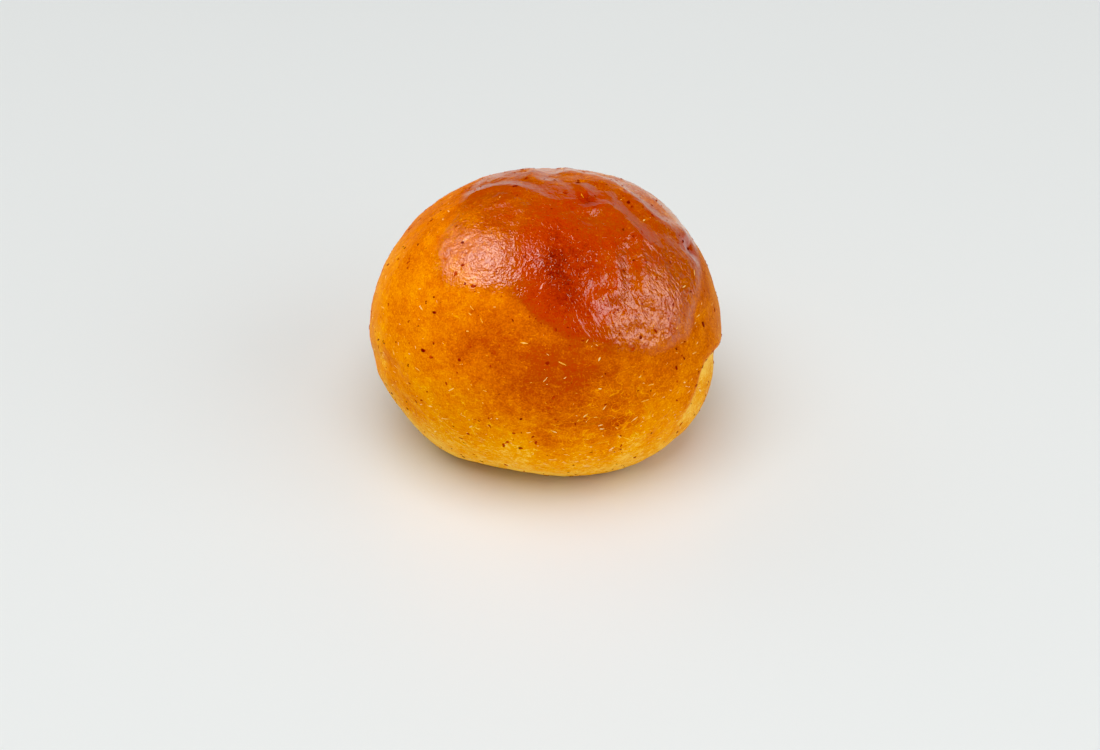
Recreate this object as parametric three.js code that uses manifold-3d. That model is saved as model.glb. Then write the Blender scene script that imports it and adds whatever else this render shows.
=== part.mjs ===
// A round bread roll, brushed with egg and baked until the crown is brown. It is one solid: a ball of
// dough that has spread into a bun, with a flat foot where it stood on the tray, a lip where the brushed
// crown meets the paler side, and soft wrinkles where the crown sank a little as it cooled.
//
// Units are millimetres. +Z is up, the front is -Y, and the origin is the middle of the foot.
import * as THREE from "three";
import { mergeVertices } from "three/addons/utils/BufferGeometryUtils.js";
import Module from "manifold-3d";

// Driving dimensions
const WIDTH = 90; // left to right
const DEPTH = 88; // front to back
const HEIGHT = 66; // foot to crown

// Worked out from them
const HEART = 0.42 * HEIGHT; // height of the widest level, where every direction below starts
const CROWN = HEIGHT - HEART; // the upper half's rise
const BELLY = 0.405 * WIDTH; // how deep the lower half would reach if nothing flattened it
const FOOT_ROUND = 0.024 * WIDTH; // how softly the side bends into the foot
const FOOT_SINK = 0.22 * FOOT_ROUND; // how far the rounded underside passes below the foot's plane

// Mesh
const FACETS = 21; // cuts along each edge of the starting icosahedron
const CROWN_PULL = 0.3; // how far the ball of directions is moved up, which makes the facets finer there
const CURVE_STEPS = 24; // straight pieces in the line of a fold
const TENSION = 0.5; // how taut that line is between the points of its path
const WELD = 1e-4; // corners of the unit ball closer than this are one

// Broad swells and hollows of the dough: direction of the middle (azimuth and elevation from the heart,
// in degrees), how far each spreads (degrees), and its rise as a share of the radius there.
const SWELLS = [
  { name: "right notch", azimuth: 351, elevation: -5, spread: 9, rise: -0.025 },
  { name: "right haunch", azimuth: 322, elevation: -27, spread: 17, rise: 0.04 },
  { name: "left flank", azimuth: 203, elevation: -17, spread: 16, rise: -0.019 },
  { name: "front foot", azimuth: 252, elevation: -42, spread: 14, rise: -0.029 },
  { name: "left heel", azimuth: 222, elevation: -33, spread: 8, rise: 0.014 },
  { name: "right foot", azimuth: 296, elevation: -40, spread: 12, rise: 0.015 },
  { name: "right shoulder", azimuth: 10, elevation: 14, spread: 12, rise: -0.012 },
  { name: "far right crown", azimuth: 45, elevation: 40, spread: 16, rise: 0.04 },
  { name: "left cheek", azimuth: 226, elevation: 52, spread: 14, rise: 0.008 },
  { name: "right cheek", azimuth: 318, elevation: 36, spread: 12, rise: 0.008 },
  { name: "cheek hollow", azimuth: 314, elevation: 27, spread: 5, rise: -0.01 },
  { name: "brow hollow", azimuth: 268, elevation: 40, spread: 10, rise: -0.008 },
  { name: "crown hollow", azimuth: 345, elevation: 73, spread: 6, rise: -0.012 },
  { name: "chin", azimuth: 278, elevation: -10, spread: 12, rise: 0.02 },
  { name: "back haunch", azimuth: 104, elevation: -22, spread: 20, rise: 0.01 },
  { name: "back left hollow", azimuth: 143, elevation: -2, spread: 15, rise: -0.01 },
  { name: "back shoulder", azimuth: 118, elevation: 28, spread: 16, rise: 0.028 },
  { name: "back right hollow", azimuth: 58, elevation: 4, spread: 14, rise: -0.015 },
];

// Small dents, such as a burst blister, written as the swells are.
const DENTS = [
  { name: "burst blister", azimuth: 3, elevation: 32, spread: 2.6, rise: -0.032 },
  { name: "blister rim", azimuth: 10, elevation: 36, spread: 3.2, rise: 0.016 },
  { name: "chin dimple", azimuth: 270, elevation: -1, spread: 4, rise: -0.012 },
  { name: "heel dimple", azimuth: 270, elevation: -7, spread: 2.6, rise: -0.01 },
  { name: "heel pocket", azimuth: 294, elevation: -2, spread: 2.4, rise: -0.012 },
  { name: "back dimple", azimuth: 76, elevation: 24, spread: 4, rise: -0.012 },
  { name: "crown blister", azimuth: 218, elevation: 79, spread: 1.9, rise: 0.01 },
  { name: "blister slope", azimuth: 176, elevation: 76, spread: 3.5, rise: 0.006 },
];

// Folds of the skin. The path is a few directions from the heart, and rise and width are millimetres. Lean
// runs from 0, an even ridge, to 1, a step that is raised on the left of the path, seen from outside. Below
// zero, the step falls away on the left.
const FOLDS = [
  {
    name: "back ridge",
    rise: 0.95,
    width: 2.7,
    lean: -0.5,
    path: [[88, 62], [70, 61], [44, 58], [26, 55], [10, 50], [7, 41], [8, 32]],
  },
  {
    name: "front ridge",
    rise: 0.85,
    width: 2.6,
    lean: -0.55,
    path: [[44, 60], [14, 65], [357, 62], [349, 56], [345, 50], [346, 43]],
  },
  {
    name: "cross ridge",
    rise: 1.05,
    width: 1.8,
    lean: -0.35,
    path: [[4, 65], [354, 70], [341, 74], [330, 77]],
  },
  {
    name: "short ridge",
    rise: 1,
    width: 1.8,
    lean: -0.35,
    path: [[48, 69], [28, 72], [8, 73]],
  },
  {
    name: "left ridge",
    rise: 0.6,
    width: 2.2,
    lean: -0.4,
    path: [[164, 56], [148, 61], [134, 70], [131, 80], [20, 88], [5, 81]],
  },
  {
    name: "crown notch",
    rise: -0.8,
    width: 2.6,
    lean: 0,
    path: [[86, 74], [86, 60], [92, 46]],
  },
  {
    name: "cheek crease",
    rise: -0.7,
    width: 2,
    lean: 0.1,
    path: [[334, 56], [319, 48], [313, 42], [307, 36]],
  },
  {
    name: "lower crease",
    rise: -0.6,
    width: 2,
    lean: 0.1,
    path: [[290, 34], [301, 36], [311, 34], [318, 28]],
  },
  {
    name: "brushed lip",
    rise: 1.1,
    width: 2.2,
    lean: 0.9,
    path: [[318, -14], [325, -4], [331, 3], [342, 3], [357, -4], [12, -9]],
  },
  {
    name: "left kink",
    rise: -0.6,
    width: 2.4,
    lean: 0.3,
    path: [[186, -8], [196, -2], [208, 2], [220, 3]],
  },
  {
    name: "chin fold",
    rise: -0.45,
    width: 3,
    lean: 0.5,
    path: [[246, 4], [262, 9], [284, 11], [301, 10], [314, 9]],
  },
  {
    name: "low crease",
    rise: -0.6,
    width: 1.6,
    lean: 0.45,
    path: [[282, -20], [285, -13], [290, -11], [295, -9], [302, -8], [309, -4]],
  },
  {
    name: "heel wrinkle",
    rise: -0.45,
    width: 1.5,
    lean: 0.3,
    path: [[256, -2], [266, 1], [276, 1], [286, 3], [294, 6]],
  },
  {
    name: "back lip",
    rise: 0.8,
    width: 2.6,
    lean: 0.8,
    path: [[54, -12], [74, -5], [96, -3], [118, -8]],
  },
  {
    name: "back fold",
    rise: -0.5,
    width: 2.6,
    lean: 0.2,
    path: [[128, 14], [142, 22], [158, 20]],
  },
];

// A ridge has a shallow trough on each side: its depth as a share of the ridge's rise, and its distance and
// width as multiples of the ridge's width.
const TROUGH = { depth: 0.45, away: 1.9, width: 0.8 };

// A step's steepness, and how many widths it reaches.
const STEP = { steepness: 1.6, reach: 2.4 };
const END_FADE = 0.6; // power of the sine that lets a fold rise and die away along its path

// The slow unevenness of hand-shaped dough: each layer is a product of waves over the unit sphere. Height
// is millimetres, and shift is where its waves start.
const UNEVENNESS = [
  { waves: 3.1, height: 0.32, shift: 0.7 },
  { waves: 6.3, height: 0.17, shift: 2.1 },
  { waves: 11.7, height: 0.09, shift: 4.4 },
];

// How far each wave leans off its own axis, and by how many shifts it starts later.
const LEAN = { across: 0.6, along: -0.5, upward: 0.4 };
const DELAY = { across: 1, along: 1.7, upward: 0.6 };
const UPWARD_SHARE = 0.5; // strength of the upright wave against the level ones

function direction(azimuth, elevation) {
  const a = THREE.MathUtils.degToRad(azimuth);
  const e = THREE.MathUtils.degToRad(elevation);
  return new THREE.Vector3(Math.cos(e) * Math.cos(a), Math.cos(e) * Math.sin(a), Math.sin(e));
}

// Distance from the heart to the plain bun in a direction: an ellipsoid with a deeper lower half.
function plainRadius(d) {
  const rise = d.z > 0 ? CROWN : BELLY;
  return 1 / Math.hypot(d.x / (WIDTH / 2), d.y / (DEPTH / 2), d.z / rise);
}

// The share by which the swells or dents raise the surface in a direction.
function swollen(d, list) {
  return list.reduce((sum, s) => {
    const spread = THREE.MathUtils.degToRad(s.spread);
    const near = d.dot(direction(s.azimuth, s.elevation)) - 1;
    return sum + s.rise * Math.exp(near / spread ** 2);
  }, 0);
}

function unevenness(d) {
  return UNEVENNESS.reduce((sum, { waves, height, shift }) => {
    const across = Math.sin(waves * (d.x + LEAN.across * d.y) + DELAY.across * shift);
    const along = Math.sin(waves * (d.y + LEAN.along * d.z) + DELAY.along * shift);
    const upward = Math.cos(waves * (d.z + LEAN.upward * d.x) + DELAY.upward * shift);
    return sum + height * across * (along + UPWARD_SHARE * upward);
  }, 0);
}

// The bun before its folds.
function smoothPoint(d) {
  const radius = plainRadius(d) * (1 + swollen(d, SWELLS) + swollen(d, DENTS));
  return d.clone().multiplyScalar(radius + unevenness(d));
}

// Each fold's line, on the bun's own surface.
const foldLines = FOLDS.map((fold) => {
  const points = fold.path.map(([azimuth, elevation]) => smoothPoint(direction(azimuth, elevation)));
  return new THREE.CatmullRomCurve3(points, false, "catmullrom", TENSION).getPoints(CURVE_STEPS);
});

// The nearest place on a fold's line: how far along it is (0 to 1), and the distance to it in
// millimetres, above zero on the left of the path.
function nearestOnLine(point, line, outward) {
  let best = { away: Infinity, along: 0, side: 0 };
  const chord = new THREE.Vector3();
  const offset = new THREE.Vector3();
  for (let i = 0; i < line.length - 1; i++) {
    chord.subVectors(line[i + 1], line[i]);
    offset.subVectors(point, line[i]);
    const t = THREE.MathUtils.clamp(offset.dot(chord) / chord.lengthSq(), 0, 1);
    offset.addScaledVector(chord, -t);
    const away = offset.length();
    if (away < best.away) {
      const left = new THREE.Vector3().crossVectors(outward, chord).normalize();
      best = { away, along: (i + t) / (line.length - 1), side: offset.dot(left) };
    }
  }
  return best;
}

// The height that a fold adds: a ridge with a shallow trough on each side, or a step, fading at its ends.
function foldHeight({ rise, width, lean }, { away, along, side }) {
  const far = away / width;
  const trough = TROUGH.depth * Math.exp(-(((far - TROUGH.away) / TROUGH.width) ** 2));
  const ridge = Math.exp(-(far ** 2)) - trough;
  const step = Math.tanh((STEP.steepness * side) / width) * Math.exp(-((far / STEP.reach) ** 2));
  const fade = Math.sin(Math.PI * along) ** END_FADE;
  return rise * fade * ((1 - Math.abs(lean)) * ridge + lean * step);
}

// The finished surface in a direction, with the underside bent softly towards the foot's plane.
function crustPoint(d) {
  const point = smoothPoint(d);
  const heights = FOLDS.map((fold, i) => foldHeight(fold, nearestOnLine(point, foldLines[i], d)));
  point.addScaledVector(
    d,
    heights.reduce((sum, height) => sum + height, 0),
  );
  const height = point.z + HEART;
  point.z = (height + Math.hypot(height, FOOT_ROUND)) / 2 - FOOT_SINK;
  return point;
}

// The whole ball of dough, one corner at a time, from a unit sphere of even triangles.
function crustGeometry() {
  const sphere = new THREE.IcosahedronGeometry(1, FACETS);
  sphere.deleteAttribute("normal");
  sphere.deleteAttribute("uv");
  const crust = mergeVertices(sphere, WELD);
  const position = crust.getAttribute("position");
  const d = new THREE.Vector3();
  for (let i = 0; i < position.count; i++) {
    d.fromBufferAttribute(position, i);
    d.z += CROWN_PULL;
    const point = crustPoint(d.normalize());
    position.setXYZ(i, point.x, point.y, point.z);
  }
  return fitToSize(crust);
}

// Brings the bun's box to the driving dimensions, centred over the origin.
function fitToSize(geometry) {
  geometry.computeBoundingBox();
  const { min, max } = geometry.boundingBox;
  geometry.translate(-(min.x + max.x) / 2, -(min.y + max.y) / 2, 0);
  geometry.scale(WIDTH / (max.x - min.x), DEPTH / (max.y - min.y), HEIGHT / max.z);
  return geometry;
}

function solidFrom(wasm, geometry) {
  const vertProperties = new Float32Array(geometry.getAttribute("position").array);
  const triVerts = new Uint32Array(geometry.index.array);
  return new wasm.Manifold(new wasm.Mesh({ numProp: 3, vertProperties, triVerts }));
}

function geometryFrom(solid) {
  const { vertProperties, triVerts } = solid.getMesh();
  const geometry = new THREE.BufferGeometry();
  geometry.setAttribute("position", new THREE.BufferAttribute(new Float32Array(vertProperties), 3));
  geometry.setIndex(new THREE.BufferAttribute(new Uint32Array(triVerts), 1));
  geometry.computeVertexNormals();
  return geometry;
}

// A block under the foot's plane, larger than the bun, which cuts the foot flat.
function trayGeometry() {
  const block = new THREE.BoxGeometry(2 * WIDTH, 2 * DEPTH, HEIGHT);
  block.translate(0, 0, -HEIGHT / 2);
  block.deleteAttribute("normal");
  block.deleteAttribute("uv");
  return mergeVertices(block);
}

const wasm = await Module();
wasm.setup();
const bun = solidFrom(wasm, crustGeometry()).subtract(solidFrom(wasm, trayGeometry()));

const crustMaterial = new THREE.MeshStandardMaterial({ color: "#d9790f", roughness: 0.42, metalness: 0 });
const roll = new THREE.Mesh(geometryFrom(bun), crustMaterial);
roll.name = "roll";

const model = new THREE.Group();
model.add(roll);

export default model;
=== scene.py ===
# %% [markdown]
# # A round bread roll with a brushed, browned crown
# The roll is one piece of baked dough: a bun with a flat foot, a glossy dome where it was brushed with
# egg, a lip where that dome overhangs the paler side, and soft wrinkles where the crown sank as it cooled.
# The lesson builds it as a maker would look at it: first the form, then its skin, then colour and gloss,
# and last the specks of bran that are baked into it.

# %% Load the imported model
import math

import bmesh
import bpy
import numpy as np
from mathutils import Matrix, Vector


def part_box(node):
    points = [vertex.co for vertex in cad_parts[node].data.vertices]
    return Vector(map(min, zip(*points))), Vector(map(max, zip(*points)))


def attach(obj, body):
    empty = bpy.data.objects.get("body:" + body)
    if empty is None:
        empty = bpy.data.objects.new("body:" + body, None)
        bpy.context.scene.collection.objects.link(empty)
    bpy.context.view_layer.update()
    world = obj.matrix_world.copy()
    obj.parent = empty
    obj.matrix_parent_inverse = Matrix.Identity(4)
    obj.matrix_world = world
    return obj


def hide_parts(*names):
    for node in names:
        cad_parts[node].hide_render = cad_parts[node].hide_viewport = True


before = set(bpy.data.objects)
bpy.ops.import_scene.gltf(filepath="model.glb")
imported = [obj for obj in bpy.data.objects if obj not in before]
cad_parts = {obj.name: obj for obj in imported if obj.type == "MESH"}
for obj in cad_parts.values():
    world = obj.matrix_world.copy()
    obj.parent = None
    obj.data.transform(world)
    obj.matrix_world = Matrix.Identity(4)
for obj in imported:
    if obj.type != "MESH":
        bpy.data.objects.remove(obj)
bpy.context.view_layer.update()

low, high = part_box("roll")
width, depth, height = high - low
MM = 0.001
print(f"the roll is {width / MM:.1f} by {depth / MM:.1f} by {height / MM:.1f} mm")

# %% [markdown]
# ## Directions from the heart
# Everything on the roll is placed by a direction from its heart, the middle of its widest level: azimuth
# turns about Z from +X, the right, and elevation rises from the level. That is handier than coordinates,
# because a fold or a brown patch stays on the skin when the form below it changes.

# %% Sizes and directions
HEART = 0.42 * height  # height of the widest level, where every direction starts
CROWN = height - HEART  # the upper half's rise
BELLY = 0.405 * width  # how deep the lower half would reach if nothing flattened it
FOOT_ROUND = 0.024 * width  # how softly the side bends into the foot
FOOT_SINK = 0.22 * FOOT_ROUND  # how far the rounded underside passes below the foot's plane


def direction(azimuth, elevation):
    """The unit vector that points that way, in degrees. It takes single angles or arrays of them."""
    a, e = np.radians(azimuth), np.radians(elevation)
    return np.stack([np.cos(e) * np.cos(a), np.cos(e) * np.sin(a), np.sin(e)], axis=-1)


def azimuth_elevation(d):
    return np.degrees(np.arctan2(d[:, 1], d[:, 0])) % 360, np.degrees(np.arcsin(np.clip(d[:, 2], -1, 1)))


print(f"the heart is {HEART / MM:.1f} mm above the foot and {CROWN / MM:.1f} mm below the crown")

# %% [markdown]
# ## The camera
# It looks along +Y and down by 35 degrees, from nearly a metre away through a long lens, which keeps the
# roll's outline round. It comes first, so that every later step can be judged through it.

# %% Camera
CAMERA_ELEVATION = math.radians(35)
CAMERA_DISTANCE = 0.95
CAMERA_TARGET = Vector((0.0011, 0, 0.0118))
LENS = 119.9  # mm
SENSOR = 36  # mm wide

towards_camera = Vector((0, -math.cos(CAMERA_ELEVATION), math.sin(CAMERA_ELEVATION)))
camera = bpy.data.objects.new("camera", bpy.data.cameras.new("camera"))
camera.data.lens = LENS
camera.data.sensor_width = SENSOR
camera.location = CAMERA_TARGET + CAMERA_DISTANCE * towards_camera
camera.rotation_euler = towards_camera.to_track_quat("Z", "Y").to_euler()
bpy.context.collection.objects.link(camera)
bpy.context.scene.camera = camera
print("camera at", [round(x, 3) for x in camera.location])

# %% [markdown]
# ## The bun before its folds
# A ball of dough spreads under its own weight, so the bun is half an ellipsoid above its widest level and
# a deeper half below, which the tray flattens. Broad swells and hollows then push it out of round, as
# hands and the oven do. Each is a soft bell over a direction, so a list of a few words and numbers gives
# the whole form and stays easy to change.

# %% Swells, dents and unevenness
SWELLS = [  # name, azimuth, elevation, spread in degrees, rise as a share of the radius
    ("right notch", 351, -5, 9, -0.025),
    ("right haunch", 322, -27, 17, 0.040),
    ("left flank", 203, -17, 16, -0.019),
    ("front foot", 252, -42, 14, -0.029),
    ("left heel", 222, -33, 8, 0.014),
    ("right foot", 296, -40, 12, 0.015),
    ("right shoulder", 10, 14, 12, -0.012),
    ("far right crown", 45, 40, 16, 0.040),
    ("left cheek", 226, 52, 14, 0.008),
    ("right cheek", 318, 36, 12, 0.008),
    ("cheek hollow", 314, 27, 5, -0.010),
    ("brow hollow", 268, 40, 10, -0.008),
    ("crown hollow", 345, 73, 6, -0.012),
    ("chin", 278, -10, 12, 0.020),
    ("back haunch", 104, -22, 20, 0.010),
    ("back left hollow", 143, -2, 15, -0.010),
    ("back shoulder", 118, 28, 16, 0.028),
    ("back right hollow", 58, 4, 14, -0.015),
]
DENTS = [
    ("burst blister", 3, 32, 2.6, -0.032),
    ("blister rim", 10, 36, 3.2, 0.016),
    ("chin dimple", 270, -1, 4, -0.012),
    ("heel dimple", 270, -7, 2.6, -0.010),
    ("heel pocket", 294, -2, 2.4, -0.012),
    ("back dimple", 76, 24, 4, -0.012),
    ("crown blister", 218, 79, 1.9, 0.010),
    ("blister slope", 176, 76, 3.5, 0.006),
]
UNEVENNESS = [(3.1, 0.32, 0.7), (6.3, 0.17, 2.1), (11.7, 0.09, 4.4)]  # waves, height in mm, shift
LEAN_ACROSS, LEAN_ALONG, LEAN_UPWARD = 0.6, -0.5, 0.4  # how far each wave leans towards another axis
DELAY_ALONG, DELAY_UPWARD = 1.7, 0.6  # its shift, as a share of the first wave's
UPWARD_SHARE = 0.5  # strength of the upright wave against the level ones


def bells(d, items):
    """The sum of soft bells: each is its own height at its middle and fades over its spread."""
    total = np.zeros(len(d))
    for _, azimuth, elevation, spread, rise in items:
        near = d @ direction(azimuth, elevation) - 1
        total += rise * np.exp(near / np.radians(spread) ** 2)
    return total


def unevenness(d):
    """Slow waves through each other, so that no part of the bun is quite even."""
    x, y, z = d.T
    total = np.zeros(len(d))
    for waves, rise, shift in UNEVENNESS:
        across = np.sin(waves * (x + LEAN_ACROSS * y) + shift)
        along = np.sin(waves * (y + LEAN_ALONG * z) + DELAY_ALONG * shift)
        upward = np.cos(waves * (z + LEAN_UPWARD * x) + DELAY_UPWARD * shift)
        total += rise * MM * (across * along + UPWARD_SHARE * upward * across)
    return total


def smooth_points(d):
    """The bun without its folds, seen from its heart in the directions d."""
    half = np.where(d[:, 2] > 0, CROWN, BELLY)
    plain = 1 / np.sqrt((2 * d[:, 0] / width) ** 2 + (2 * d[:, 1] / depth) ** 2 + (d[:, 2] / half) ** 2)
    radius = plain * (1 + bells(d, SWELLS + DENTS)) + unevenness(d)
    return d * radius[:, None]


print(len(SWELLS), "swells and", len(DENTS), "dents shape the bun")

# %% [markdown]
# ## Folds of the skin
# As the roll cools, steam leaves it and its skin gathers into low ridges, and the brushed dome ends in a
# lip. A fold could be sculpted, but here it is a line of a few directions laid on the bun. A point's
# distance to that line gives the height: an even ridge with a shallow trough on each side, or a step. A
# negative lean turns the step round, so that the skin falls away on the left of the line.

# %% Folds
FOLDS = [  # name, rise and width in mm, lean from ridge (0) to step (1), directions along it
    ("back ridge", 0.95, 2.7, -0.50, [(88, 62), (70, 61), (44, 58), (26, 55), (10, 50), (7, 41), (8, 32)]),
    ("front ridge", 0.85, 2.6, -0.55, [(44, 60), (14, 65), (357, 62), (349, 56), (345, 50), (346, 43)]),
    ("cross ridge", 1.05, 1.8, -0.35, [(4, 65), (354, 70), (341, 74), (330, 77)]),
    ("short ridge", 1.00, 1.8, -0.35, [(48, 69), (28, 72), (8, 73)]),
    ("left ridge", 0.60, 2.2, -0.40, [(164, 56), (148, 61), (134, 70), (131, 80), (20, 88), (5, 81)]),
    ("crown notch", -0.80, 2.6, 0.00, [(86, 74), (86, 60), (92, 46)]),
    ("cheek crease", -0.70, 2.0, 0.10, [(334, 56), (319, 48), (313, 42), (307, 36)]),
    ("lower crease", -0.60, 2.0, 0.10, [(290, 34), (301, 36), (311, 34), (318, 28)]),
    ("brushed lip", 1.10, 2.2, 0.90, [(318, -14), (325, -4), (331, 3), (342, 3), (357, -4), (12, -9)]),
    ("left kink", -0.60, 2.4, 0.30, [(186, -8), (196, -2), (208, 2), (220, 3)]),
    ("chin fold", -0.45, 3.0, 0.50, [(246, 4), (262, 9), (284, 11), (301, 10), (314, 9)]),
    ("low crease", -0.60, 1.6, 0.45, [(282, -20), (285, -13), (290, -11), (295, -9), (302, -8), (309, -4)]),
    ("heel wrinkle", -0.45, 1.5, 0.30, [(256, -2), (266, 1), (276, 1), (286, 3), (294, 6)]),
    ("back lip", 0.80, 2.6, 0.80, [(54, -12), (74, -5), (96, -3), (118, -8)]),
    ("back fold", -0.50, 2.6, 0.20, [(128, 14), (142, 22), (158, 20)]),
]

# %% [markdown]
# ## A line on the bun, and how far away it is
# A Bezier curve and a proximity node could do this, but the same few lines of numpy serve twice: here for
# the height of a fold, and later for the pale dough below a lip. The cross product of the outward direction
# and the line's own direction tells which side of the line a point is on.

# %% Fold lines and distances
CURVE_STEPS = 24  # straight pieces in the line of a fold


def fold_line(path):
    """A Catmull-Rom curve through the path's points on the bun."""
    p = smooth_points(direction(*np.array(path, float).T))
    p = np.vstack([2 * p[0] - p[1], p, 2 * p[-1] - p[-2]])
    t = np.linspace(0, len(path) - 1, CURVE_STEPS + 1)
    i = np.minimum(t.astype(int), len(path) - 2)
    u = (t - i)[:, None]
    a, b, c, e = p[i], p[i + 1], p[i + 2], p[i + 3]
    return 0.5 * (2 * b + (c - a) * u + (2 * a - 5 * b + 4 * c - e) * u**2 + (3 * b - a - 3 * c + e) * u**3)


def nearest_on_line(points, line, d):
    """Distance to the line, how far along it from 0 to 1, and the distance to its left in metres."""
    away = np.full(len(points), np.inf)
    along = np.zeros(len(points))
    side = np.zeros(len(points))
    for i, (start, end) in enumerate(zip(line[:-1], line[1:])):
        chord = end - start
        offset = points - start
        t = np.clip(offset @ chord / (chord @ chord), 0, 1)
        offset = offset - t[:, None] * chord
        distance = np.linalg.norm(offset, axis=1)
        closer = distance < away
        left = np.cross(d[closer], chord)
        left /= np.linalg.norm(left, axis=1)[:, None]
        away[closer] = distance[closer]
        along[closer] = (i + t[closer]) / CURVE_STEPS
        side[closer] = (offset[closer] * left).sum(1)
    return away, along, side


longest = max(np.linalg.norm(np.diff(fold_line(path), axis=0), axis=1).sum() for *_, path in FOLDS)
print(len(FOLDS), f"folds, the longest of them {longest / MM:.0f} mm")

# %% [markdown]
# ## The height of a fold
# A ridge is a soft bell over the distance, less a lower bell on each side, which is the trough that the
# skin sinks into beside it. A step is a smooth S across the line. Both die away past a few widths, and a
# sine along the line lets each fold rise and die out, so none of them ends in a stump.

# %% Fold heights
TROUGH_DEPTH = 0.45  # share of the ridge's rise
TROUGH_AWAY, TROUGH_WIDTH = 1.9, 0.8  # where the trough lies and how wide it is, in widths of the ridge
STEP_STEEPNESS, STEP_REACH = 1.6, 2.4  # how fast a step rises, and over how many widths it dies away
END_FADE = 0.6  # power of the sine that lets a fold rise and die away along its line
FOLD_REACH = 6  # widths, past which a fold adds nothing
ROUGH_STRIDE = 4  # the first, rough distance is taken to every fourth point of the line
ROUGH_MARGIN = 8 * MM  # added to the reach, because that distance is rough


def fold_heights(points, d):
    total = np.zeros(len(points))
    for _, rise, breadth, lean, path in FOLDS:
        w = breadth * MM
        line = fold_line(path)
        gap = np.linalg.norm(points[:, None] - line[None, ::ROUGH_STRIDE], axis=2).min(1)
        near = gap < FOLD_REACH * w + ROUGH_MARGIN
        away, along, side = nearest_on_line(points[near], line, d[near])
        trough = TROUGH_DEPTH * np.exp(-(((away - TROUGH_AWAY * w) / (TROUGH_WIDTH * w)) ** 2))
        ridge = np.exp(-((away / w) ** 2)) - trough
        step = np.tanh(STEP_STEEPNESS * side / w) * np.exp(-((away / (STEP_REACH * w)) ** 2))
        fade = np.sin(np.pi * along) ** END_FADE
        total[near] += rise * MM * fade * ((1 - abs(lean)) * ridge + lean * step)
    return total


# %% [markdown]
# ## One even mesh for the whole skin
# A ball of longitudes and latitudes would pinch its faces at the crown, where this roll has its best
# wrinkles. A cube blown up into a ball keeps every face nearly square. Its directions are then drawn
# towards the crown, so the wrinkled dome gets squares of under 0.4 mm and the flat foot gets larger ones.

# %% A cube blown up into a ball of directions
CELLS = 128  # along each edge of the cube
CROWN_PULL = 0.3  # how far the ball of directions is moved up before they are measured again
SAME_POINT = 6  # decimals to which points on the seams of the six sides agree


def ball_of_squares(cells):
    """Unit vectors and the squares between them. The tangent keeps the squares alike in size."""
    t = np.tan(np.linspace(-math.pi / 4, math.pi / 4, cells + 1))
    u, v = np.meshgrid(t, t, indexing="ij")
    one = np.ones_like(u)
    sides = [(one, u, v), (-one, v, u), (v, one, u), (u, -one, v), (u, v, one), (v, u, -one)]
    grid = np.vstack([np.stack(side, -1).reshape(-1, 3) for side in sides])
    grid /= np.linalg.norm(grid, axis=1)[:, None]
    corner = np.arange((cells + 1) ** 2).reshape(cells + 1, cells + 1)
    quads = np.stack([corner[:-1, :-1], corner[1:, :-1], corner[1:, 1:], corner[:-1, 1:]], -1).reshape(-1, 4)
    faces = np.vstack([quads + k * corner.size for k in range(6)])
    seams = np.round(grid, SAME_POINT)
    _, first, shared = np.unique(seams, axis=0, return_index=True, return_inverse=True)
    return grid[first], shared.ravel()[faces]


directions, quads = ball_of_squares(CELLS)
directions += (0, 0, CROWN_PULL)
directions /= np.linalg.norm(directions, axis=1)[:, None]
print(len(directions), "directions and", len(quads), "squares between them")

# %% [markdown]
# ## The form of the crust
# Each direction gets its point on the bun, and the folds lift it outwards. The foot is flat because the
# roll baked on a tray: a soft maximum lets no point sink below the tray and rounds the edge of the foot.
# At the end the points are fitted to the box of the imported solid, so the looks have its exact size.

# %% Form of the crust
def crust_points(d):
    points = smooth_points(d)
    points = points + d * fold_heights(points, d)[:, None]
    level = points[:, 2] + HEART
    points[:, 2] = np.maximum(0.5 * (level + np.hypot(level, FOOT_ROUND)) - FOOT_SINK, 0)
    return points


def fitted(points):
    """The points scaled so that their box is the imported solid's."""
    lowest, highest = points.min(0), points.max(0)
    lowest[2] = 0
    scale = (np.array(high) - np.array(low)) / (highest - lowest)
    return (points - lowest) * scale + np.array(low)


points = fitted(crust_points(directions))
print("the crust's box in mm:", np.round(points.min(0) / MM, 1), np.round(points.max(0) / MM, 1))

# %% [markdown]
# ## Egg wash
# A brush leaves egg on the dome, further down on one side than on the other. Its lower edge is a closed
# line round the roll, given by a few directions, and the egg thins out over a few degrees there. A texture
# could be painted instead, but a map made by rule needs no image and stays on the form.

# %% Egg wash on every point
WASH_EDGE = [  # azimuth and elevation of its lower edge, once round
    (2, 28), (14, 27), (30, 28), (60, 30), (100, 40), (130, 50), (160, 57), (180, 57), (196, 50), (208, 42),
    (222, 39), (240, 43), (252, 44), (260, 40), (270, 34), (290, 25), (308, 18), (326, 17), (337, 23),
    (350, 27),
]
WASH_FADE = 5  # degrees over which it thins out
WASH_FULL = 0.85  # its weight where it is thickest


def smoothstep(x):
    x = np.clip(x, 0, 1)
    return x * x * (3 - 2 * x)


def egg_wash(d):
    azimuth, elevation = azimuth_elevation(d)
    around, edge = np.array(WASH_EDGE, float).T
    above_edge = elevation - np.interp(azimuth, around, edge, period=360)
    return WASH_FULL * smoothstep(above_edge / WASH_FADE + 0.5)


wash = egg_wash(directions)
print(f"the egg wash covers {(wash > WASH_FULL / 2).mean():.0%} of the points")
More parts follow.
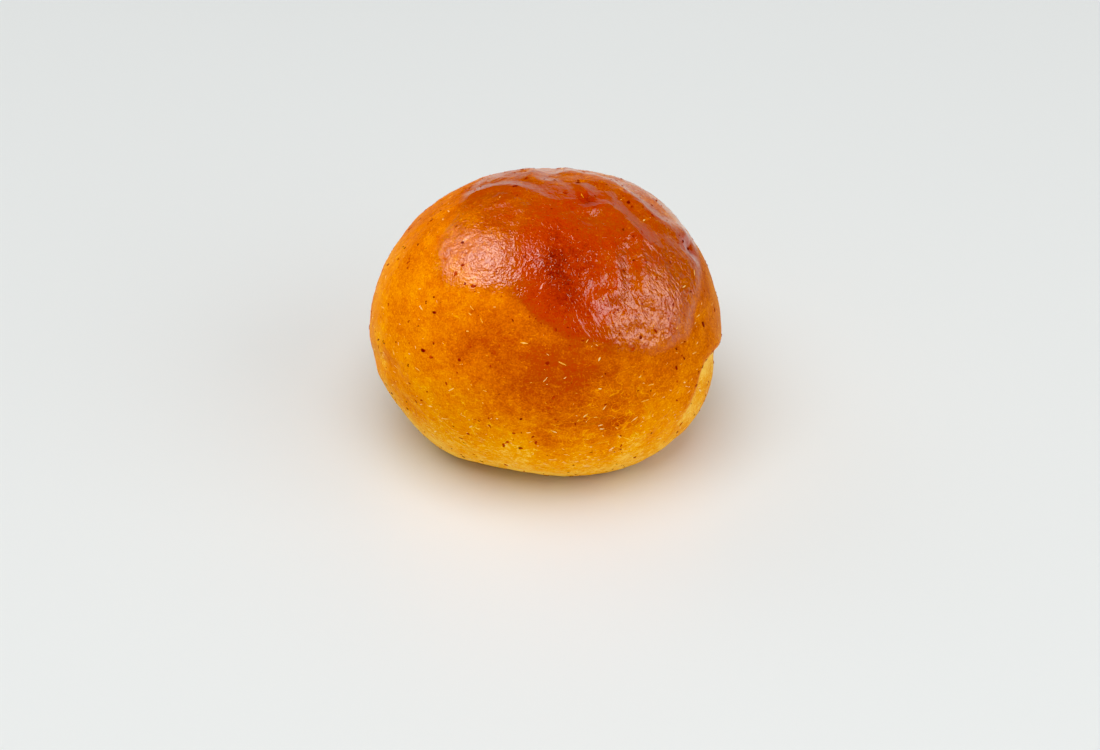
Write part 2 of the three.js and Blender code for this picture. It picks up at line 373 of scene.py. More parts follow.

# %% [markdown]
# ## Browning, and a little painted shade
# Heat browns what stands highest, egg makes it brown faster, and dough that lay in the shade of a lip stays
# pale. So the colour is driven by a number on each point, from 0, pale dough, to 1, nearly burnt. It is an
# even bake that pales towards the foot, with soft patches that are browner or paler, and less below the lips.
# A few patches paint shade instead: the heel's two dents are browner, so that they read as shaded, and the
# left shoulder is darker.

# %% Browning and painted shade on every point
BAKED = 0.26  # browning of the plain skin from the belly up
FOOT_PALER = 0.23  # how much paler the skin is at the foot
PALING_FROM, PALING_OVER = -2, 34  # elevation where it starts to pale, and over how many degrees
PATCHES = [  # name, azimuth, elevation, spread in degrees, how much browner
    ("crown", 290, 66, 27, 0.48),
    ("crown right", 0, 56, 18, 0.16),
    ("front belt", 274, 18, 20, 0.13),
    ("front spot", 242, 25, 8, 0.16),
    ("right side", 325, 10, 22, 0.12),
    ("crown hollow", 4, 74, 4, 0.26),
    ("far right dent", 3, 33, 4.0, 0.45),
    ("brow", 276, 48, 24, -0.15),
    ("above the brow", 276, 60, 7, 0.18),
    ("left cheek", 240, 54, 8, -0.09),
    ("far crown", 345, 68, 7, -0.16),
    ("low belt", 267, 18, 7, 0.12),
    ("low heel", 282, -18, 11, 0.06),
    ("right spot", 324, 24, 7, 0.07),
    ("right cheek", 312, 47, 9, -0.05),
    ("right temple", 342, 30, 11, 0.09),
    ("belt", 284, 20, 15, 0.10),
    ("left crest", 138, 72, 7, 0.10),
    ("chin", 260, -8, 8, -0.18),
    # painted shade: the next two rows brown the heel's dents so that they read as shaded
    ("heel dimple", 270, -7, 3.0, 0.16),
    ("heel pocket", 294, -2, 2.8, 0.14),
    ("front low", 254, 2, 12, 0.08),
    ("left belt", 216, 2, 12, 0.05),
    # painted shade: this row darkens the left shoulder in place of dimmer light on it
    ("left shoulder", 216, 26, 10, 0.05),
    ("left foot", 210, -22, 9, -0.10),
    ("right front", 291, 5, 8, 0.05),
    ("right foot", 350, -30, 22, 0.08),
    ("right chin", 312, -6, 7, -0.15),
    ("back left", 150, 54, 24, 0.14),
    ("back crown", 90, 45, 24, 0.08),
    ("back belt", 110, 10, 22, 0.08),
]
SECOND_COAT = ("brow", 277, 46, 15, 0.30)  # where the brush went twice, inside the wash's edge
PALE_BELOW = {"brushed lip": (0.36, 1.6), "back lip": (0.10, 5.0)}  # how much paler, and the fade in mm
PALE_REACH = 9  # mm below the lip over which the skin takes its colour again
PALE_END_FADE = 0.5  # power of the sine that lets the paleness die away past the lip's ends
EDGE_WANDER = 1.5  # how far the pale edge strays from the lip, as a share of the unevenness there
PALEST = 0.06  # browning of the palest skin


def below_lip(d, points):
    """Most just below a lip, fading over the centimetre under it and towards its ends."""
    total = np.zeros(len(d))
    for name, _, _, _, path in FOLDS:
        if name not in PALE_BELOW:
            continue
        paler, fade = PALE_BELOW[name]
        away, along, side = nearest_on_line(points, fold_line(path), d)
        side = side + EDGE_WANDER * unevenness(d)
        inside = smoothstep(-side / (fade * MM) + 0.5) * np.sin(np.pi * along) ** PALE_END_FADE
        total += paler * inside * np.exp(-((away / (PALE_REACH * MM)) ** 2))
    return np.clip(total, 0, 1)


def browning(d, points, wash):
    _, elevation = azimuth_elevation(d)
    baked = BAKED - FOOT_PALER * smoothstep((PALING_FROM - elevation) / PALING_OVER) + bells(d, PATCHES)
    return np.clip(baked + wash * bells(d, [SECOND_COAT]) - below_lip(d, points), PALEST, 1)


brown_and_painted_shade = browning(directions, points - np.array([0, 0, HEART]), wash)
print(f"browning runs from {brown_and_painted_shade.min():.2f} to {brown_and_painted_shade.max():.2f}")

# %% [markdown]
# ## Where the skin changes its character
# The rest of the finish has its places too. Bran is everywhere but under the foot, flour lies mostly low
# down, where no egg washed it away, the glaze is streaked on one cheek and pebbled on the other, and skin
# comes off in flakes near the foot. Each is one more map, so the shader and the scattering need no rules.

# %% Maps for the specks and the fine skin
FLOUR_WASHED_OFF = 0.9  # share of the flour that full egg wash takes away
FLOUR_ON_TOP = 0.25  # share of the flour that the top has
FLOUR_FROM, FLOUR_OVER = 25, 40  # elevation where it starts to grow downwards, and over how many degrees
FOOT_CLEAR = 1.5 * MM  # no specks below this height, where the roll rests
SPOTS = {  # maps made of bells, as the patches are, and whether they show only under the wash
    "streaks": ([("right cheek", 316, 38, 22, 1.3)], True),
    "pebbles": (
        [("left cheek", 226, 54, 22, 1.2), ("right cheek", 316, 36, 20, 0.7), ("crown", 260, 78, 16, 0.7)],
        True,
    ),
    "flaky": (
        [
            ("heel", 292, -2, 15, 1.0),
            ("left heel", 240, -6, 14, 0.7),
            ("right heel", 350, -22, 14, 0.9),
            ("back heel", 80, -8, 24, 0.8),
        ],
        False,
    ),
}
low_down = smoothstep((FLOUR_FROM - azimuth_elevation(directions)[1]) / FLOUR_OVER)
flour = (1 - FLOUR_WASHED_OFF * wash) * (FLOUR_ON_TOP + (1 - FLOUR_ON_TOP) * low_down)
bran = np.ones(len(directions))
for where in (bran, flour):
    where[points[:, 2] < FOOT_CLEAR] = 0
maps = {"browning": brown_and_painted_shade, "wash": wash, "bran_map": bran, "flour_map": flour}
for name, (items, under_wash) in SPOTS.items():
    maps[name] = np.clip(bells(directions, items), 0, 1) * (wash if under_wash else 1 - wash)
print("maps:", ", ".join(f"{name} {values.mean():.2f}" for name, values in maps.items()))

# %% [markdown]
# ## From numbers to a mesh
# The points and squares become a mesh, and the maps become attributes on its points, which shaders and
# node trees read by name. The cube's six sides share their points along the seams, so the skin is closed.
# With its faces turned outwards a closed skin has a positive volume, and the printed line shows both.

# %% The bare skin's mesh
bare = bpy.data.meshes.new("bare_skin")
bare.from_pydata(points.tolist(), [], quads.tolist())
for name, values in maps.items():
    layer = bare.attributes.new(name, "FLOAT", "POINT")
    layer.data.foreach_set("value", values.astype(np.float32))

shell = bmesh.new()
shell.from_mesh(bare)
bmesh.ops.recalc_face_normals(shell, faces=shell.faces)
closed = all(edge.is_manifold for edge in shell.edges)
print("closed:", closed, f"volume {shell.calc_volume(signed=True) * 1e6:.0f} cm3")
shell.to_mesh(bare)
shell.free()
bare.polygons.foreach_set("use_smooth", np.ones(len(bare.polygons), bool))

skin = bpy.data.objects.new("skin", bare)
bpy.context.collection.objects.link(skin)

# %% [markdown]
# ## Two helpers: a colour and a node
# A baker names crust colours by eye, from straw through gold and chestnut to mahogany. They are kept as
# the hex values a colour picker shows and turned to linear light by one function. One more function adds
# a node to any tree: it takes the node's settings, and for each input a value or the socket that feeds it.
# With it a tree reads in the order in which its nodes work.

# %% Helpers
def linear(hex_colour):
    """An sRGB hex colour as linear RGBA."""
    channels = [int(hex_colour[i : i + 2], 16) / 255 for i in (1, 3, 5)]
    return (*[c / 12.92 if c <= 0.04045 else ((c + 0.055) / 1.055) ** 2.4 for c in channels], 1)


def node(tree, kind, inputs=None, **settings):
    """Adds a node. An input is named or numbered, and takes a value or the socket that feeds it."""
    made = tree.nodes.new(kind)
    for key, value in settings.items():
        setattr(made, key, value)
    for key, value in (inputs or {}).items():
        if isinstance(value, bpy.types.NodeSocket):
            tree.links.new(value, made.inputs[key])
        else:
            made.inputs[key].default_value = value
    return made


print("straw in linear light:", [round(c, 3) for c in linear("#F8C650")])

# %% [markdown]
# ## Patterns with features of a real size
# Baked crust is dried, browned dough, and what the eye takes for bread is its pattern: blotches, streaks,
# pores and fine cracks, each at its own size. All come from noise on Object coordinates, which are metres
# here, so one over the size in metres is the scale. The noise can be drawn out along an axis into streaks.
# Folding it about its middle turns its soft hills into thin creases.

# %% The crust's shader tree and its patterns
ACROSS = (0, 0, 1)  # the axis that a horizontal streak is squeezed along
UP_THE_CHEEK = (-0.43, 0.43, 0.80)  # the way the wrinkles run on the right cheek

crust = bpy.data.materials.new("egg_washed_crust")
crust.use_nodes = True
crust_tree = crust.node_tree
crust_tree.nodes.clear()
on_crust = node(crust_tree, "ShaderNodeTexCoord").outputs["Object"]
painted = {
    name: node(crust_tree, "ShaderNodeAttribute", attribute_name=name).outputs["Fac"] for name in maps
}


def pattern(size, detail, distortion, axis, stretch, creased):
    """A noise with features of this size in mm, stretched along an axis and, if wanted, creased."""
    drawn_out = node(
        crust_tree,
        "ShaderNodeMapping",
        {
            "Vector": on_crust,
            "Rotation": Vector(axis).to_track_quat("Z", "Y").to_euler(),
            "Scale": (1, 1, stretch),
        },
        vector_type="TEXTURE",
    ).outputs[0]
    noise = node(
        crust_tree,
        "ShaderNodeTexNoise",
        {"Vector": drawn_out, "Scale": 1 / (size * MM), "Detail": detail, "Distortion": distortion},
    ).outputs["Fac"]
    if creased:
        centred = node(crust_tree, "ShaderNodeMath", {0: noise, 1: 0.5}, operation="SUBTRACT").outputs[0]
        noise = node(crust_tree, "ShaderNodeMath", {0: centred}, operation="ABSOLUTE").outputs[0]
    return noise


print("the crust's shader reads", ", ".join(painted))

# %% [markdown]
# ## The crust's colours
# Crust browns from straw through gold, amber and chestnut to a red mahogany. The colour comes from a ramp
# of those tones, driven by the map of browning and painted shade. On top of the map each layer of mottling
# makes the tone a little browner or paler: blotches a centimetre across, freckles of half a millimetre,
# streaks of flour and the pale edges of flakes. Their sizes are those of real crust, and the flour and flakes
# keep to their maps.

# %% Crust colours, mottled over the map of browning and painted shade
CRUST_COLOURS = [  # browning, sRGB hex
    (0.00, "#F8C650"),
    (0.13, "#F0A50E"),
    (0.28, "#E88A08"),
    (0.42, "#D86E03"),
    (0.58, "#BA4E03"),
    (0.74, "#C03F02"),
    (0.90, "#A43003"),
    (1.00, "#862404"),
]
BOTH_WAYS = (0.3, 0.7, -1)  # this range of the noise becomes -1 to 1, browner and paler alike
FLOUR_STREAK = (0.56, 0.68, 0)  # only the noise's peaks count, from 0 to 1
STRAY_STREAK = (0.62, 0.72, 0)  # only its highest peaks
FLAKE_EDGE = (0.016, 0.003, 0)  # only the bottom of a crease
MOTTLING = [  # size in mm, shift, detail, distortion, stretch, map, creased, range of the noise
    (10.0, 0.08, 3, 0.8, 1.0, None, False, BOTH_WAYS),
    (3.2, 0.042, 4, 0.7, 0.6, None, False, BOTH_WAYS),
    (1.2, 0.045, 3, 0.4, 0.8, None, False, BOTH_WAYS),
    (0.45, 0.065, 1, 0.0, 1.0, None, False, BOTH_WAYS),
    (1.6, -0.14, 2, 1.2, 0.55, "flour_map", False, FLOUR_STREAK),
    (0.9, -0.15, 1, 1.0, 0.45, None, False, STRAY_STREAK),
    (6.0, 0.05, 2, 0.6, 0.6, "flour_map", False, BOTH_WAYS),
    (5.0, -0.26, 1, 1.2, 0.8, "flaky", True, FLAKE_EDGE),
]

tree = crust_tree
tone = painted["browning"]
for size, shift, detail, distortion, stretch, where, creased, (least, most, lowest) in MOTTLING:
    noise = pattern(size, detail, distortion, ACROSS, stretch, creased)
    layer = node(
        tree, "ShaderNodeMapRange", {"Value": noise, "From Min": least, "From Max": most, "To Min": lowest}
    ).outputs["Result"]
    if where:
        layer = node(tree, "ShaderNodeMath", {0: layer, 1: painted[where]}, operation="MULTIPLY").outputs[0]
    tone = node(tree, "ShaderNodeMath", {0: layer, 1: shift, 2: tone}, operation="MULTIPLY_ADD").outputs[0]

ramp = node(tree, "ShaderNodeValToRGB", {"Fac": tone})
while len(ramp.color_ramp.elements) < len(CRUST_COLOURS):
    ramp.color_ramp.elements.new(1)
for element, (position, colour) in zip(ramp.color_ramp.elements, CRUST_COLOURS):
    element.position = position
    element.color = linear(colour)
print(len(MOTTLING), "layers of mottling over", len(CRUST_COLOURS), "crust colours")

# %% [markdown]
# ## The fine skin
# The brushed skin has wrinkles like a coat of paint, drawn out up the right cheek and pebbled on the left
# one. The bare skin has grain and pores, and near the foot it lifts in thin flakes. All of it is finer than
# the mesh can carry, so it is bump in the shader. Each layer starts from the normal that the layer before
# it left, so the layers add up. Wrinkles under 0.4 mm wouldn't show from the camera, so the finest are
# drawn that coarse.

# %% Fine skin: wrinkles under the glaze, grain, pores and flakes
FINE_SKIN = [  # size and depth in mm, detail, distortion, axis, stretch along it, map, creased
    (1.7, 0.15, 3, 1.4, UP_THE_CHEEK, 1.6, "wash", True),
    (0.5, 0.03, 0, 0.4, UP_THE_CHEEK, 1.4, "wash", False),
    (2.4, 0.55, 1, 0.8, UP_THE_CHEEK, 1.6, "streaks", False),
    (1.6, 0.20, 1, 0.6, UP_THE_CHEEK, 1.0, "pebbles", False),
    (0.65, 0.12, 0, 0.6, UP_THE_CHEEK, 1.0, "pebbles", False),
    (0.40, 0.07, 0, 0.0, UP_THE_CHEEK, 1.0, "pebbles", False),
    (0.55, 0.11, 0, 0.8, UP_THE_CHEEK, 4.5, "streaks", False),
    (0.5, 0.05, 2, 0.6, ACROSS, 1.0, None, False),
    (1.4, 0.14, 3, 0.9, ACROSS, 0.5, "flour_map", False),
    (5.0, 1.40, 1, 1.2, ACROSS, 0.8, "flaky", True),
]

normal = None
for size, deep, detail, distortion, axis, stretch, where, creased in FINE_SKIN:
    relief = pattern(size, detail, distortion, axis, stretch, creased)
    if where:
        relief = node(tree, "ShaderNodeMath", {0: relief, 1: painted[where]}, operation="MULTIPLY").outputs[0]
    bump = {"Strength": 1.0, "Distance": deep * MM, "Height": relief}
    if normal:
        bump["Normal"] = normal
    normal = node(tree, "ShaderNodeBump", bump).outputs[0]
print(len(FINE_SKIN), "layers of fine skin")

# %% [markdown]
# ## Bare crust and egg glaze in one surface
# Bare crust is dull and lets a little light in, which comes out again redder, so it looks warm and not
# painted. Egg dries on it to a thin clear glaze with a soft shine. Two materials could be mixed, but a clear
# coat is just what a glaze is: its weight is the egg wash map, and its edge fades as the egg did. Dried
# dough and dried egg bend light by 1.4 to 1.6, as most dry food does.

# %% The crust's surface
BARE_ROUGHNESS, GLAZED_ROUGHNESS = 0.60, 0.25
roughness = node(
    tree,
    "ShaderNodeMapRange",
    {"Value": painted["wash"], "To Min": BARE_ROUGHNESS, "To Max": GLAZED_ROUGHNESS},
).outputs["Result"]
surface = node(
    tree,
    "ShaderNodeBsdfPrincipled",
    {
        "Base Color": ramp.outputs["Color"],
        "Roughness": roughness,
        "IOR": 1.40,
        "Specular IOR Level": 0.25,  # dry crust is porous, so it mirrors less than a solid of its kind
        "Subsurface Weight": 0.12,
        "Subsurface Radius": (1.0, 0.35, 0.12),  # red light goes furthest through dough
        "Subsurface Scale": 1.5 * MM,
        "Coat Weight": painted["wash"],
        "Coat Roughness": 0.13,
        "Coat IOR": 1.6,
        "Normal": normal,
        "Coat Normal": normal,
    },
)
node(tree, "ShaderNodeOutputMaterial", {"Surface": surface.outputs[0]})
print(crust.name, "has", len(tree.nodes), "nodes")

# %% [markdown]
# ## Growing things with Geometry Nodes
# The skin's relief follows one rule all over, and the specks are hundreds of like bits on one surface.
# Both are jobs for Geometry Nodes. A tree is built here in the script, with its sizes as named inputs, is
# run on a mesh once, and the result is kept as a plain mesh.

# %% Helpers for geometry trees
def geometry_tree(name, inputs):
    """A tree that takes a mesh and the named inputs, its input sockets, and its output node."""
    made = bpy.data.node_groups.new(name, "GeometryNodeTree")
    made.interface.new_socket("Geometry", in_out="OUTPUT", socket_type="NodeSocketGeometry")
    for label, kind in {"Geometry": "Geometry", **inputs, "Material": "Material"}.items():
        made.interface.new_socket(label, in_out="INPUT", socket_type="NodeSocket" + kind)
    return made, node(made, "NodeGroupInput").outputs, node(made, "NodeGroupOutput")


def grown(name, source, tree, values):
    """Runs the tree on the source and returns the result as a plain mesh object."""
    modifier = source.modifiers.new(name, "NODES")
    modifier.node_group = tree
    for item in tree.interface.items_tree:
        if item.name in values:
            modifier[item.identifier] = values[item.name]
    graph = bpy.context.evaluated_depsgraph_get()
    mesh = bpy.data.meshes.new_from_object(
        source.evaluated_get(graph), preserve_all_data_layers=True, depsgraph=graph
    )
    source.modifiers.remove(modifier)
    mesh.name = name
    mesh.materials.clear()
    mesh.materials.append(values["Material"])
    made = bpy.data.objects.new(name, mesh)
    bpy.context.collection.objects.link(made)
    triangles = sum(len(face.vertices) - 2 for face in mesh.polygons)
    print(f"{name}: {len(mesh.vertices)} points, {triangles} triangles of {mesh.materials[0].name}")
    return made


# %% [markdown]
# ## The skin's own relief
# Bread is never smooth: bubbles lift it into low lumps, and the brushed skin dries into creases. It could
# be sculpted, or pushed out by textures in the shader, but then the mesh itself would stay smooth. Here a
# tree moves the points along the surface's normal, by one noise for each kind of relief. A creased layer
# folds the noise about its middle, which turns its slopes into sharp little valleys, and shows only where
# there is egg. The relief fades out at the foot, which stays flat.

# %% A tree for the skin's relief
RELIEF = [  # name, size and depth in mm, distortion, creased
    ("Lump", 9.0, 0.90, 0.3, False),
    ("Bubble", 4.0, 0.34, 0.2, False),
    ("Crease", 4.6, 0.30, 0.9, True),
    ("Pucker", 2.1, 0.19, 0.8, False),
    ("Wrinkle", 1.2, 0.10, 0.5, False),
]
FOOT_FADE = 4 * MM  # how high above the foot the relief is full

sizes = {f"{name} {what}": "Float" for name, *_ in RELIEF for what in ("Size", "Depth")}
tree, given, result = geometry_tree("skin_relief", sizes)
where = node(tree, "GeometryNodeInputPosition").outputs[0]
washed = node(tree, "GeometryNodeInputNamedAttribute", {"Name": "wash"}, data_type="FLOAT").outputs[0]
rise = None
for name, _, _, distortion, creased in RELIEF:
    scale = node(tree, "ShaderNodeMath", {0: 1.0, 1: given[f"{name} Size"]}, operation="DIVIDE").outputs[0]
    noise = node(
        tree,
        "ShaderNodeTexNoise",
        {"Vector": where, "Scale": scale, "Detail": 2.0, "Distortion": distortion},
    ).outputs["Fac"]
    layer = node(tree, "ShaderNodeMath", {0: noise, 1: 0.5}, operation="SUBTRACT").outputs[0]
    if creased:
        layer = node(tree, "ShaderNodeMath", {0: layer}, operation="ABSOLUTE").outputs[0]
        layer = node(tree, "ShaderNodeMath", {0: layer, 1: washed}, operation="MULTIPLY").outputs[0]
    terms = {0: layer, 1: given[f"{name} Depth"], 2: rise or 0.0}
    rise = node(tree, "ShaderNodeMath", terms, operation="MULTIPLY_ADD").outputs[0]
above = node(tree, "ShaderNodeSeparateXYZ", {0: where}).outputs["Z"]
fade = node(
    tree, "ShaderNodeMapRange", {"Value": above, "From Max": FOOT_FADE}, interpolation_type="SMOOTHSTEP"
).outputs["Result"]
rise = node(tree, "ShaderNodeMath", {0: rise, 1: fade}, operation="MULTIPLY").outputs[0]
outward = node(tree, "GeometryNodeInputNormal").outputs[0]
offset = node(tree, "ShaderNodeVectorMath", {0: outward, "Scale": rise}, operation="SCALE").outputs[0]
moved = node(tree, "GeometryNodeSetPosition", {"Geometry": given["Geometry"], "Offset": offset}).outputs[0]
real = node(tree, "GeometryNodeRealizeInstances", {"Geometry": moved}).outputs[0]
finished = node(tree, "GeometryNodeSetMaterial", {"Geometry": real, "Material": given["Material"]}).outputs[0]
tree.links.new(finished, result.inputs["Geometry"])
print(tree.name, "takes", ", ".join(sizes))

# %% [markdown]
# ## Grow the crust
# The tree is run once with the sizes of this roll, and what comes out is the crust: a plain mesh that
# carries the maps and the crust's material.

# %% The crust
values = {"Material": crust}
for name, size, deep, *_ in RELIEF:
    values[f"{name} Size"] = size * MM
    values[f"{name} Depth"] = deep * MM
roll = grown("roll_crust", skin, tree, values)

# %% [markdown]
# ## Bran and flour baked into the skin
# The dough holds specks of bran, dark and a third of a millimetre to a millimetre across, and paler bits
# of flour and dried dough, which lie along the lower half like short straws. Placing them by hand would
# take days, and a texture would leave the skin flat where they stand a hair proud. So a tree scatters
# them: its first part draws points on the crust, as dense as a map says, and three random numbers for each.

# %% Scattering tree: the places
tree, given, result = geometry_tree(
    "baked_in_specks",
    {
        "Density": "Float",
        "Where": "String",
        "Smallest": "Float",
        "Largest": "Float",
        "Longest": "Float",
        "Flatness": "Float",
        "Spin": "Float",
        "Seed": "Int",
    },
)
here = node(
    tree, "GeometryNodeInputNamedAttribute", {"Name": given["Where"]}, data_type="FLOAT"
).outputs[0]
density = node(tree, "ShaderNodeMath", {0: here, 1: given["Density"]}, operation="MULTIPLY").outputs[0]
spread = node(
    tree,
    "GeometryNodeDistributePointsOnFaces",
    {"Mesh": given["Geometry"], "Density": density, "Seed": given["Seed"]},
)
chance = {}
for k, what in enumerate(("size", "length", "spin")):
    seed = node(tree, "FunctionNodeIntegerMath", {0: given["Seed"], 1: k + 1}, operation="ADD").outputs[0]
    draw = node(tree, "FunctionNodeRandomValue", {"Seed": seed}, data_type="FLOAT")
    chance[what] = draw.outputs[1]
print(tree.name, "draws", ", ".join(chance), "for each speck")

# %% [markdown]
# ## The shape of a speck
# Most specks are small and a few are large, as in milled grain, so the random size is raised to a power.
# Each speck is a lens of a few dozen faces, which lies flat on the skin: it is drawn out to a random length,
# squashed, and turned about the normal, by any angle for bran and by less for flour, whose straws lie
# mostly level.

# %% Scattering tree: the specks
RARITY = 2.5  # power that makes large specks rarer than small ones

rare = node(tree, "ShaderNodeMath", {0: chance["size"], 1: RARITY}, operation="POWER").outputs[0]
size = node(
    tree, "ShaderNodeMapRange", {"Value": rare, "To Min": given["Smallest"], "To Max": given["Largest"]}
).outputs["Result"]
longer = node(
    tree, "ShaderNodeMapRange", {"Value": chance["length"], "To Min": 1.0, "To Max": given["Longest"]}
).outputs["Result"]
long = node(tree, "ShaderNodeMath", {0: size, 1: longer}, operation="MULTIPLY").outputs[0]
flat = node(tree, "ShaderNodeMath", {0: size, 1: given["Flatness"]}, operation="MULTIPLY").outputs[0]
scale = node(tree, "ShaderNodeCombineXYZ", {0: long, 1: size, 2: flat}).outputs[0]
centred = node(tree, "ShaderNodeMath", {0: chance["spin"], 1: 0.5}, operation="SUBTRACT").outputs[0]
turn = node(tree, "ShaderNodeMath", {0: centred, 1: given["Spin"]}, operation="MULTIPLY").outputs[0]
spin = node(tree, "FunctionNodeAxisAngleToRotation", {"Angle": turn}).outputs[0]
rotation = node(
    tree,
    "FunctionNodeRotateRotation",
    {"Rotation": spread.outputs["Rotation"], "Rotate By": spin},
    rotation_space="LOCAL",
).outputs[0]
ball = {"Radius": 0.5, "Subdivisions": 2}  # one across, so that its scale is its size
lens = node(tree, "GeometryNodeMeshIcoSphere", ball).outputs["Mesh"]
scattered = node(
    tree,
    "GeometryNodeInstanceOnPoints",
    {"Points": spread.outputs["Points"], "Instance": lens, "Rotation": rotation, "Scale": scale},
).outputs[0]
print("each speck has its own length, width, height and turn")

# %% [markdown]
# ## No two alike
# Copies of one lens would look like sprinkles. Once the copies are real, a fine noise moves their points,
# which breaks each outline in its own way, because each lies at another place in the noise.

# %% Scattering tree: broken outlines
BREAK_SIZE = 0.45 * MM  # of the noise that breaks them
BREAK_DEPTH = 1.6  # how far it moves a point, as a share of the smallest speck

real = node(tree, "GeometryNodeRealizeInstances", {"Geometry": scattered}).outputs[0]
where = node(tree, "GeometryNodeInputPosition").outputs[0]
jitter = node(
    tree, "ShaderNodeTexNoise", {"Vector": where, "Scale": 1 / BREAK_SIZE, "Detail": 1.0}
).outputs["Color"]
centred = node(tree, "ShaderNodeVectorMath", {0: jitter, 1: (0.5, 0.5, 0.5)}, operation="SUBTRACT").outputs[0]
strength = node(
    tree, "ShaderNodeMath", {0: given["Smallest"], 1: BREAK_DEPTH}, operation="MULTIPLY"
).outputs[0]
offset = node(tree, "ShaderNodeVectorMath", {0: centred, "Scale": strength}, operation="SCALE").outputs[0]
rough = node(tree, "GeometryNodeSetPosition", {"Geometry": real, "Offset": offset}).outputs[0]
smooth = node(tree, "GeometryNodeSetShadeSmooth", {"Geometry": rough}).outputs[0]
finished = node(
    tree, "GeometryNodeSetMaterial", {"Geometry": smooth, "Material": given["Material"]}
).outputs[0]
tree.links.new(finished, result.inputs["Geometry"])
specks_tree = tree
print(tree.name, "has", len(tree.nodes), "nodes")

# %% [markdown]
# ## What the specks are made of
# Bran is the husk of the grain: dry, matt scales that bake to a dark red-brown, with a few of them paler.
# Dried flour is a matt paste that bakes to pale gold. A noise slower than the specks picks the shade, so
# the bits differ from each other but each is of one piece.

# %% Speck materials
SHADE_SIZE = 2.5 * MM  # over which the shade changes
SHADE_STOPS = (0.38, 0.5, 0.62)  # values of the noise that give the three shades
SPECK_FINISHES = [  # name, sRGB hex from the darkest to the palest bits, roughness
    ("baked_bran", ("#7C1E08", "#A83208", "#C2480A"), 0.55),
    ("dried_flour", ("#E89A30", "#F2B454", "#F8D694"), 0.50),
]
for name, shades, roughness in SPECK_FINISHES:
    made = bpy.data.materials.new(name)
    made.use_nodes = True
    tree = made.node_tree
    tree.nodes.clear()
    place = node(tree, "ShaderNodeTexCoord").outputs["Object"]
    noise = node(tree, "ShaderNodeTexNoise", {"Vector": place, "Scale": 1 / SHADE_SIZE}).outputs["Fac"]
    varied = node(tree, "ShaderNodeValToRGB", {"Fac": noise})
    varied.color_ramp.elements.new(SHADE_STOPS[1])
    for element, position, colour in zip(varied.color_ramp.elements, SHADE_STOPS, shades):
        element.position = position
        element.color = linear(colour)
    shader = node(
        tree,
        "ShaderNodeBsdfPrincipled",
        {
            "Base Color": varied.outputs["Color"],
            "Roughness": roughness,
            "IOR": 1.45,
            "Specular IOR Level": 0.2,
        },
    )
    node(tree, "ShaderNodeOutputMaterial", {"Surface": shader.outputs[0]})
    print(name, "runs from", shades[0], "to", shades[-1])

# %% [markdown]
# ## Two sowings
# The same tree runs twice on the crust. Bran is sown thinly and everywhere, in broad scales turned any way.
# Flour is sown more densely and low down, in slivers up to several times as long as they are wide.

# %% Scatter the bran and the flour
# Each has: piece, material, specks per square metre, map, smallest and largest width in mm, greatest length
# in widths, height in widths, range of turns in radians, seed.
SPECKS = [
    ("bran_specks", "baked_bran", 42000, "bran_map", 0.30, 0.95, 2.2, 0.24, 6.28, 7),
    ("flour_flecks", "dried_flour", 120000, "flour_map", 0.14, 0.40, 7.5, 0.30, 1.8, 23),
]
pieces = [roll]
for name, material, density, where, smallest, largest, longest, flatness, spin, seed in SPECKS:
    values = {
        "Density": density,
        "Where": where,
        "Smallest": smallest * MM,
        "Largest": largest * MM,
        "Longest": longest,
        "Flatness": flatness,
        "Spin": spin,
        "Seed": seed,
        "Material": bpy.data.materials[material],
    }
    pieces.append(grown(name, roll, specks_tree, values))

# %% [markdown]
# ## One body, three pieces
# A roll has no joint, so all its pieces ride on one body. They stand for the imported solid, which stays for
# weight and touch but is hidden. The bare skin was only a start for the node trees, so it is removed.

# %% Tie every piece to the roll
bpy.data.objects.remove(skin)
for piece in pieces:
    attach(piece, "root")
    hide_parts("roll")
print("pieces:", ", ".join(piece.name for piece in pieces))

# %% [markdown]
# ## The floor
# The roll stands on pale matt board, as on a photographer's sweep. It is so large that its edges are far
# away from every side, and its one face lies at the height of the foot.

# %% Floor
FLOOR_SIZE = 6.0

floor_mesh = bpy.data.meshes.new("floor")
far = FLOOR_SIZE / 2
floor_mesh.from_pydata([(-far, -far, 0), (far, -far, 0), (far, far, 0), (-far, far, 0)], [], [(0, 1, 2, 3)])
floor = bpy.data.objects.new("floor", floor_mesh)
bpy.context.collection.objects.link(floor)
floor_paint = bpy.data.materials.new("pale_matt_floor")
floor_paint.use_nodes = True
floor_surface = floor_paint.node_tree.nodes["Principled BSDF"]
floor_surface.inputs["Base Color"].default_value = linear("#EAEDEC")
floor_surface.inputs["Roughness"].default_value = 0.4
floor_mesh.materials.append(floor_paint)
print(f"floor of {FLOOR_SIZE} by {FLOOR_SIZE} m in {floor_paint.name}")

# %% [markdown]
# ## Soft boxes
# A glaze shows the shape of every lamp, so the lamps are placed by what the roll mirrors. The left box,
# high up, makes the highlight on the left cheek, and the right box the one on the right cheek. The window
# and the strip behind the roll trace the ridges of its crown. The fills only light, and are kept out of the
# gloss so that they add no highlight. Some boxes light only the roll or only the floor, as flags and
# screens arrange it in a studio, and two show in the gloss alone.

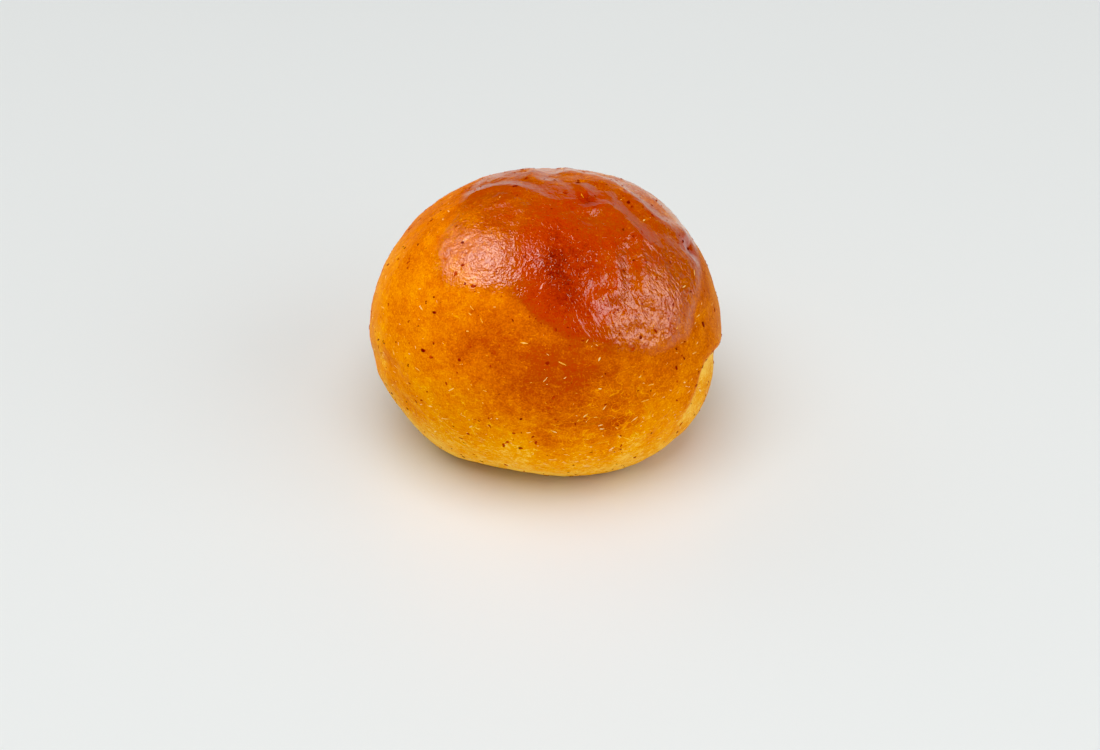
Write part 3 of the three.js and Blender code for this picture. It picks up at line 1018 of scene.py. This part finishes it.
# %% Soft boxes
SOFT_BOXES = [  # name, azimuth, elevation, distance, width and height in metres, watts, lights, in gloss
    ("left_box", 168, 61, 0.80, 0.40, 0.42, 3.35, "roll", True),
    ("left_window", 142, 33, 0.80, 0.40, 0.34, 0.35, "all", True),
    ("right_box", 348, 36, 0.80, 0.62, 0.54, 3.8, "gloss", True),
    ("back_strip", 68, 13, 0.80, 0.70, 0.34, 0.3, "gloss", True),
    ("right_fill", 335, 24, 1.20, 1.30, 1.10, 5.0, "all", False),
    ("front_fill", 256, 8, 1.20, 2.00, 0.34, 5.6, "roll", False),
    ("top_fill", 150, 72, 1.20, 1.00, 1.00, 3.8, "roll", False),
    ("floor_fill", 235, 76, 1.20, 1.20, 1.20, 10.8, "floor", False),
]
only = {name: bpy.data.collections.new(name + "_only") for name in ("roll", "floor")}
for piece in pieces:
    only["roll"].objects.link(piece)
only["floor"].objects.link(floor)

for name, azimuth, elevation, distance, across, up, watts, lights, in_gloss in SOFT_BOXES:
    lamp = bpy.data.lights.new(name, "AREA")
    lamp.shape = "RECTANGLE"
    lamp.size = across
    lamp.size_y = up
    lamp.energy = watts
    box = bpy.data.objects.new(name, lamp)
    away = Vector(direction(azimuth, elevation))
    box.location = Vector((0, 0, HEART)) + distance * away
    box.rotation_euler = away.to_track_quat("Z", "Y").to_euler()
    box.visible_diffuse = lights != "gloss"
    box.visible_glossy = in_gloss
    box.light_linking.receiver_collection = only.get(lights)
    bpy.context.collection.objects.link(box)
print(len(SOFT_BOXES), "soft boxes,", sum(box[-1] for box in SOFT_BOXES), "of them in the gloss")

# %% [markdown]
# ## The surround
# A plain room gives an even, soft fill from all sides. It is left out of the gloss, which mirrors only the
# floor and the lamps. The picture is kept in plain sRGB, so that the hex colours come out as they were
# chosen, and the black level deepens its shadows a little.

# %% Surround and grade
AMBIENT = 0.46
BLACK_LEVEL = 0.02

world = bpy.data.worlds.new("surround")
world.use_nodes = True
world.cycles_visibility.glossy = False
tree = world.node_tree
tree.nodes.clear()
sky = node(tree, "ShaderNodeBackground", {"Strength": AMBIENT})
node(tree, "ShaderNodeOutputWorld", {"Surface": sky.outputs[0]})
bpy.context.scene.world = world
grade = bpy.context.scene.view_settings
grade.view_transform = "Standard"
grade.use_curve_mapping = True
grade.curve_mapping.black_level = (BLACK_LEVEL,) * 3
print("view transform:", grade.view_transform)
